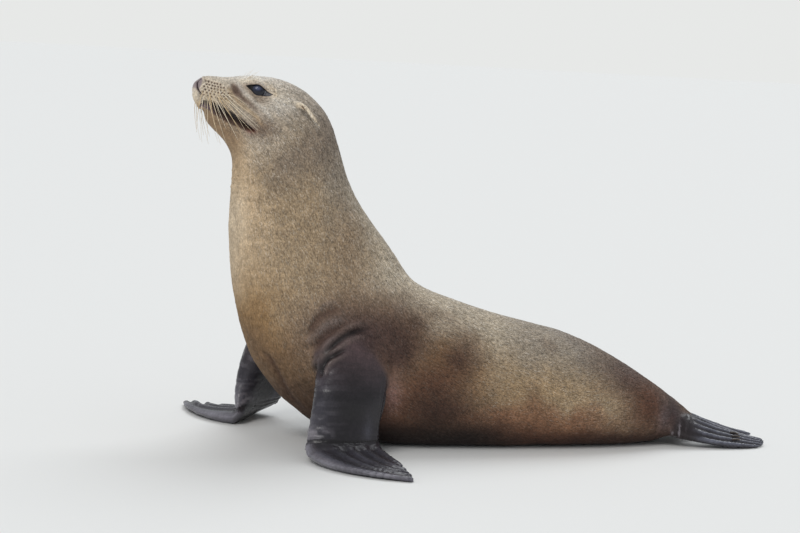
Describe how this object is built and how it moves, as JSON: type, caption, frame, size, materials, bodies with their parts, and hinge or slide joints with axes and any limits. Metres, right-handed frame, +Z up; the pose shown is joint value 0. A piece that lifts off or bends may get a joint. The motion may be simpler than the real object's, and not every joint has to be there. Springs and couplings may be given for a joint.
{
  "type": "sea lion",
  "caption": "Life-size still model of a sea lion sitting up on its foreflippers, head raised, hind flippers trailing, resting flat on its belly.",
  "frame": {"origin": "centre of the bounding box's bottom, on the floor under the belly", "axes": "the animal faces -Y, its left side is +X, +Z is up"},
  "size_m": [0.8, 1.3678, 0.7882],
  "materials": {
    "coat": "short dense fur, grey-tan to golden brown",
    "flipper_skin": "dark slate leathery skin with a soft sheen",
    "nose_skin": "moist dark grey-brown skin",
    "eye": "wet, very dark blue-black",
    "horn": "satin horn"
  },
  "bodies": {
    "root": {"head": "coat", "lower_jaw": "coat", "nose": "nose_skin", "neck": "coat", "chest": "coat", "belly": "coat", "rump": "coat", "tail": "coat", "ear_left": "coat", "ear_right": "coat", "eye_left": "eye", "eye_right": "eye", "arm_left": "flipper_skin", "arm_right": "flipper_skin", "foreflipper_left": "flipper_skin", "foreflipper_right": "flipper_skin", "hindflipper_left": "flipper_skin", "hindflipper_right": "flipper_skin", "claw_left_2": "horn", "claw_left_3": "horn", "claw_left_4": "horn", "claw_right_2": "horn", "claw_right_3": "horn", "claw_right_4": "horn"}
  },
  "joints": []
}
